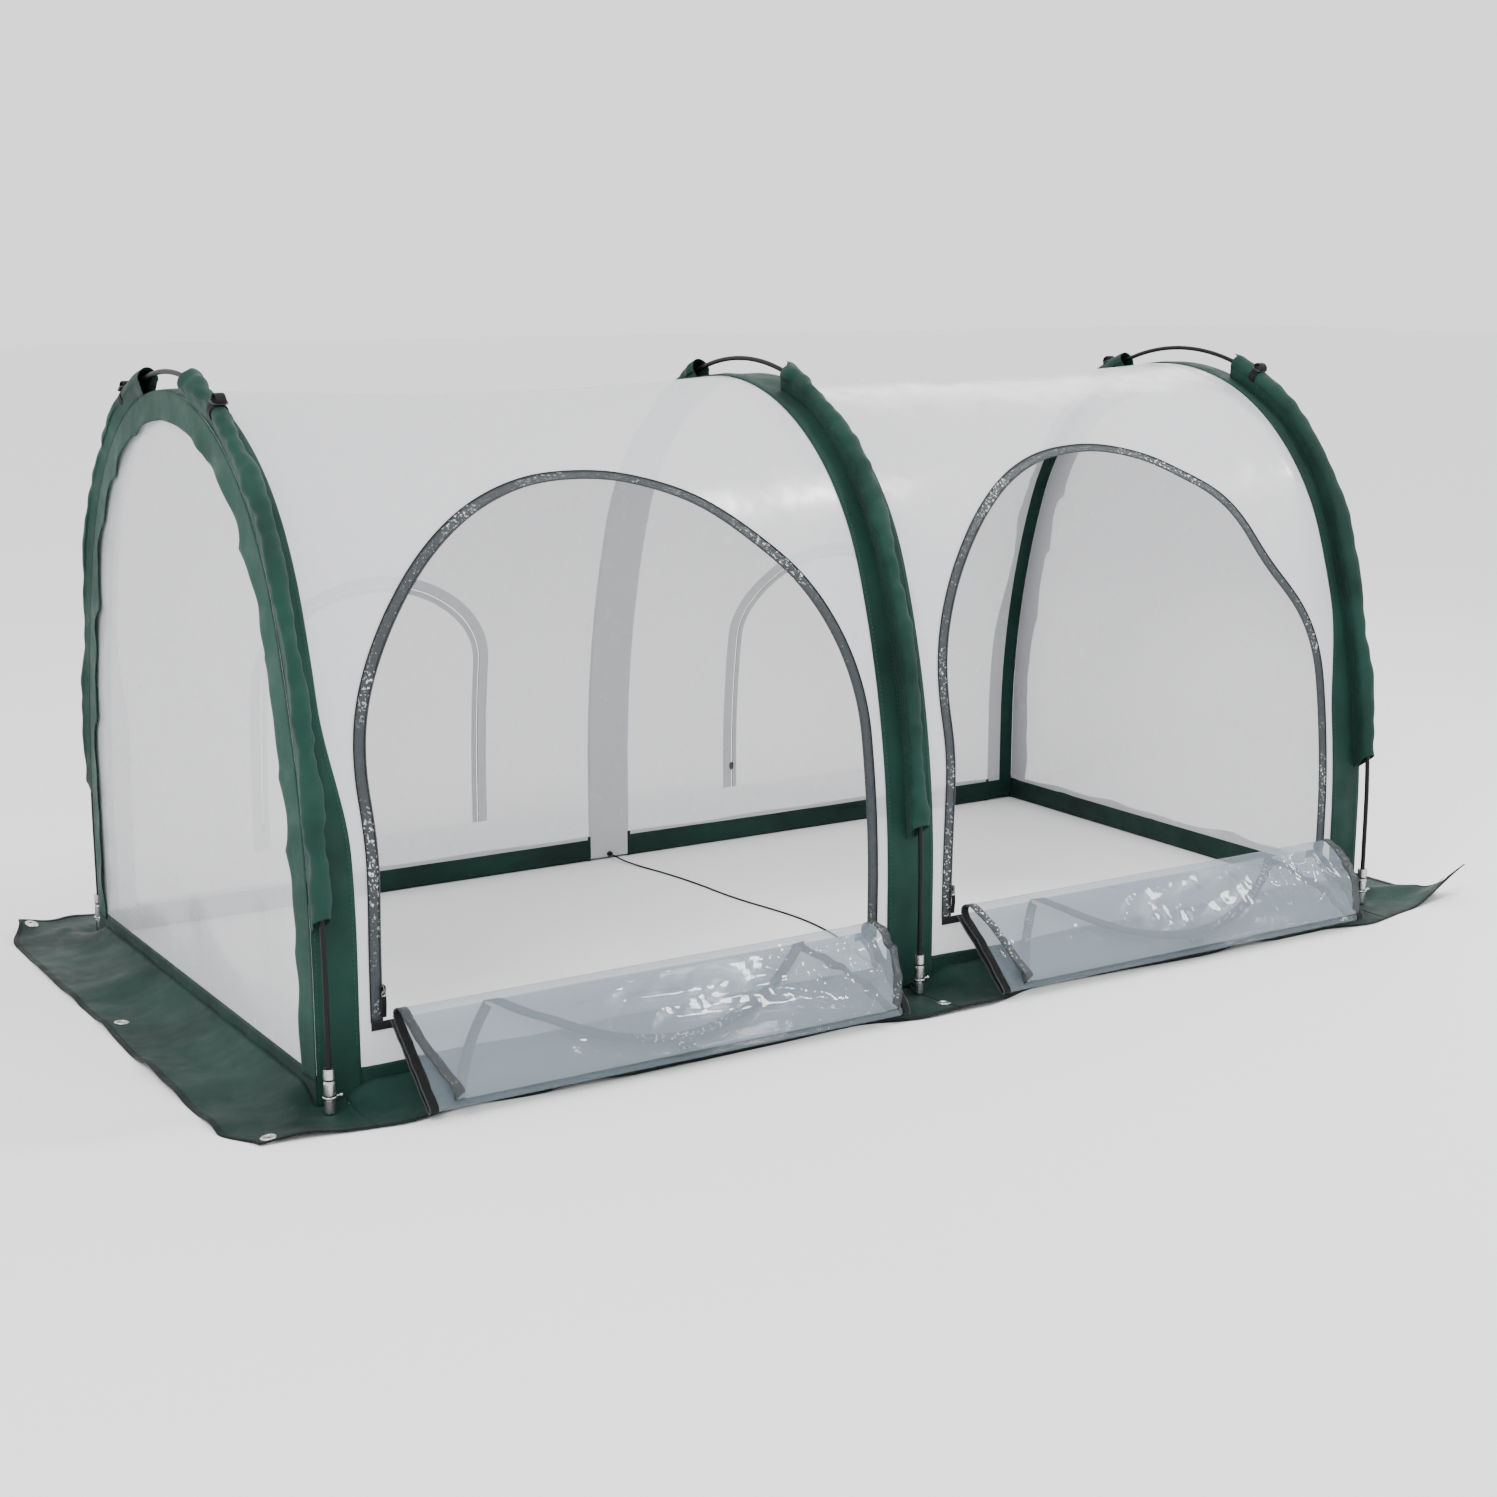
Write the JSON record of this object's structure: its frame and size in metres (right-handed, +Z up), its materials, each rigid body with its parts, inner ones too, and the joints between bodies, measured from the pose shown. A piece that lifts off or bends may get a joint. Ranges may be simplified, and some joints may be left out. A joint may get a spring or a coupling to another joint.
{
  "type": "mini pop up greenhouse",
  "caption": "Low tunnel greenhouse: bent rods in fabric sleeves carry a clear film cover with a ground skirt, zipped doors and peg eyelets.",
  "frame": {"origin": "on the ground, at the centre of the footprint, under the middle rod", "axes": "+X along the tunnel, -Y towards the open front doors, +Z up"},
  "size_m": [2.082, 1.172, 0.8934],
  "materials": {
    "fibreglass": "dark grey-green pultruded rod, satin",
    "ferrule_steel": "plain drawn tube",
    "tip_steel": "bright plated, scuffed",
    "ring_wire": "bright plated wire",
    "elastic": "braided elastic",
    "green_fabric": "dark green coated oxford weave",
    "clear_film": "clear film, slightly hazy",
    "door_film": "clear film, glossy and creased",
    "zip_tape": "grey woven tape with coil teeth",
    "zip_metal": "dark painted die-cast",
    "eyelet_metal": "bright plated",
    "black_webbing": "black ribbed tape",
    "black_cord": "black braided cord"
  },
  "bodies": {
    "middle": {"rod_legs_middle": "fibreglass", "rod_crown_middle": "fibreglass", "ferrules_middle": "ferrule_steel", "shock_cord_middle": "elastic", "tips_middle": "tip_steel", "rings_middle": "ring_wire", "sleeves_middle": "green_fabric", "band_middle": "green_fabric", "eyelets_middle": "eyelet_metal", "bay_film_left": "clear_film", "bay_film_right": "clear_film", "skirt_front_left": "green_fabric", "skirt_front_right": "green_fabric", "skirt_back_left": "green_fabric", "skirt_back_right": "green_fabric", "ground_tie": "black_cord", "zip_tapes_front": "zip_tape", "zip_tapes_back": "zip_tape"},
    "left_end": {"rod_legs_left": "fibreglass", "rod_crown_left": "fibreglass", "ferrules_left": "ferrule_steel", "shock_cord_left": "elastic", "tips_left": "tip_steel", "rings_left": "ring_wire", "sleeves_left": "green_fabric", "band_left": "green_fabric", "eyelets_left": "eyelet_metal", "end_wall_left": "clear_film", "end_trim_left": "green_fabric", "skirt_end_left": "green_fabric", "guy_loops_left": "black_webbing"},
    "door_left_1": {"door_left_panel_1": "door_film"},
    "door_left_2": {"door_left_panel_2": "door_film"},
    "door_left_3": {"door_left_panel_3": "door_film"},
    "door_left_4": {"door_left_panel_4": "door_film"},
    "door_left_5": {"door_left_panel_5": "door_film"},
    "back_door_left": {"back_door_left": "door_film"},
    "slider_front_left": {"zip_slider_front_left": "zip_metal"},
    "slider_back_left": {"zip_slider_back_left": "zip_metal"},
    "right_end": {"rod_legs_right": "fibreglass", "rod_crown_right": "fibreglass", "ferrules_right": "ferrule_steel", "shock_cord_right": "elastic", "tips_right": "tip_steel", "rings_right": "ring_wire", "sleeves_right": "green_fabric", "band_right": "green_fabric", "eyelets_right": "eyelet_metal", "end_wall_right": "clear_film", "end_trim_right": "green_fabric", "skirt_end_right": "green_fabric", "guy_loops_right": "black_webbing"},
    "door_right_1": {"door_right_panel_1": "door_film"},
    "door_right_2": {"door_right_panel_2": "door_film"},
    "door_right_3": {"door_right_panel_3": "door_film"},
    "door_right_4": {"door_right_panel_4": "door_film"},
    "door_right_5": {"door_right_panel_5": "door_film"},
    "back_door_right": {"back_door_right": "door_film"},
    "slider_front_right": {"zip_slider_front_right": "zip_metal"},
    "slider_back_right": {"zip_slider_back_right": "zip_metal"}
  },
  "joints": [
    {"name": "collapse_left", "type": "slide", "parent": "middle", "child": "left_end", "axis": [1, 0, 0], "range_m": [0, 0.75], "deforming": ["bay_film_left", "skirt_front_left", "skirt_back_left", "door_left_panel_1", "door_left_panel_2", "door_left_panel_3", "door_left_panel_4", "door_left_panel_5", "back_door_left", "zip_slider_front_left", "zip_slider_back_left", "zip_tapes_front", "zip_tapes_back"]},
    {"name": "door_left_lift", "type": "hinge", "parent": "middle", "child": "door_left_1", "pos_m": [-0.445, -0.453, 0.101], "axis": [-1, 0, 0], "range_deg": [0, 131.11]},
    {"name": "door_left_fold_1", "type": "hinge", "parent": "door_left_1", "child": "door_left_2", "pos_m": [-0.445, -0.56512, 0.01215], "axis": [-1, 0, 0], "range_deg": [-174.75, 0]},
    {"name": "door_left_fold_2", "type": "hinge", "parent": "door_left_2", "child": "door_left_3", "pos_m": [-0.445, -0.4665, 0.11709], "axis": [-1, 0, 0], "range_deg": [0, 186.76]},
    {"name": "door_left_fold_3", "type": "hinge", "parent": "door_left_3", "child": "door_left_4", "pos_m": [-0.445, -0.57861, 0.02823], "axis": [-1, 0, 0], "range_deg": [0, 187.35]},
    {"name": "door_left_fold_4", "type": "hinge", "parent": "door_left_4", "child": "door_left_5", "pos_m": [-0.445, -0.4746, 0.10963], "axis": [-1, 0, 0], "range_deg": [0, 196.44]},
    {"name": "back_door_left_swing", "type": "hinge", "parent": "middle", "child": "back_door_left", "pos_m": [-0.445, 0.4515, 0.1005], "axis": [-1, 0, 0], "range_deg": [0, 105]},
    {"name": "zip_front_left_slide", "type": "slide", "parent": "middle", "child": "slider_front_left", "axis": [0, 0.0788, 0.9969], "range_m": [0, 0.24]},
    {"name": "zip_back_left_slide", "type": "slide", "parent": "middle", "child": "slider_back_left", "axis": [0, -0.0788, 0.9969], "range_m": [0, 0.24]},
    {"name": "collapse_right", "type": "slide", "parent": "middle", "child": "right_end", "axis": [-1, 0, 0], "range_m": [0, 0.75], "deforming": ["bay_film_right", "skirt_front_right", "skirt_back_right", "door_right_panel_1", "door_right_panel_2", "door_right_panel_3", "door_right_panel_4", "door_right_panel_5", "back_door_right", "zip_slider_front_right", "zip_slider_back_right", "zip_tapes_front", "zip_tapes_back"]},
    {"name": "door_right_lift", "type": "hinge", "parent": "middle", "child": "door_right_1", "pos_m": [0.445, -0.453, 0.101], "axis": [-1, 0, 0], "range_deg": [0, 131.11]},
    {"name": "door_right_fold_1", "type": "hinge", "parent": "door_right_1", "child": "door_right_2", "pos_m": [0.445, -0.56512, 0.01215], "axis": [-1, 0, 0], "range_deg": [-174.75, 0]},
    {"name": "door_right_fold_2", "type": "hinge", "parent": "door_right_2", "child": "door_right_3", "pos_m": [0.445, -0.4665, 0.11709], "axis": [-1, 0, 0], "range_deg": [0, 186.76]},
    {"name": "door_right_fold_3", "type": "hinge", "parent": "door_right_3", "child": "door_right_4", "pos_m": [0.445, -0.57861, 0.02823], "axis": [-1, 0, 0], "range_deg": [0, 187.35]},
    {"name": "door_right_fold_4", "type": "hinge", "parent": "door_right_4", "child": "door_right_5", "pos_m": [0.445, -0.4746, 0.10963], "axis": [-1, 0, 0], "range_deg": [0, 196.44]},
    {"name": "back_door_right_swing", "type": "hinge", "parent": "middle", "child": "back_door_right", "pos_m": [0.445, 0.4515, 0.1005], "axis": [-1, 0, 0], "range_deg": [0, 105]},
    {"name": "zip_front_right_slide", "type": "slide", "parent": "middle", "child": "slider_front_right", "axis": [0, 0.0788, 0.9969], "range_m": [0, 0.24]},
    {"name": "zip_back_right_slide", "type": "slide", "parent": "middle", "child": "slider_back_right", "axis": [0, -0.0788, 0.9969], "range_m": [0, 0.24]}
  ],
  "couplings": [
    {"joint": "door_left_fold_1", "follows": "door_left_lift", "ratio": -1.3291},
    {"joint": "door_left_fold_2", "follows": "door_left_lift", "ratio": 1.4207},
    {"joint": "door_left_fold_3", "follows": "door_left_lift", "ratio": 1.4251},
    {"joint": "door_left_fold_4", "follows": "door_left_lift", "ratio": 1.4945},
    {"joint": "door_right_fold_1", "follows": "door_right_lift", "ratio": -1.3291},
    {"joint": "door_right_fold_2", "follows": "door_right_lift", "ratio": 1.4207},
    {"joint": "door_right_fold_3", "follows": "door_right_lift", "ratio": 1.4251},
    {"joint": "door_right_fold_4", "follows": "door_right_lift", "ratio": 1.4945}
  ]
}
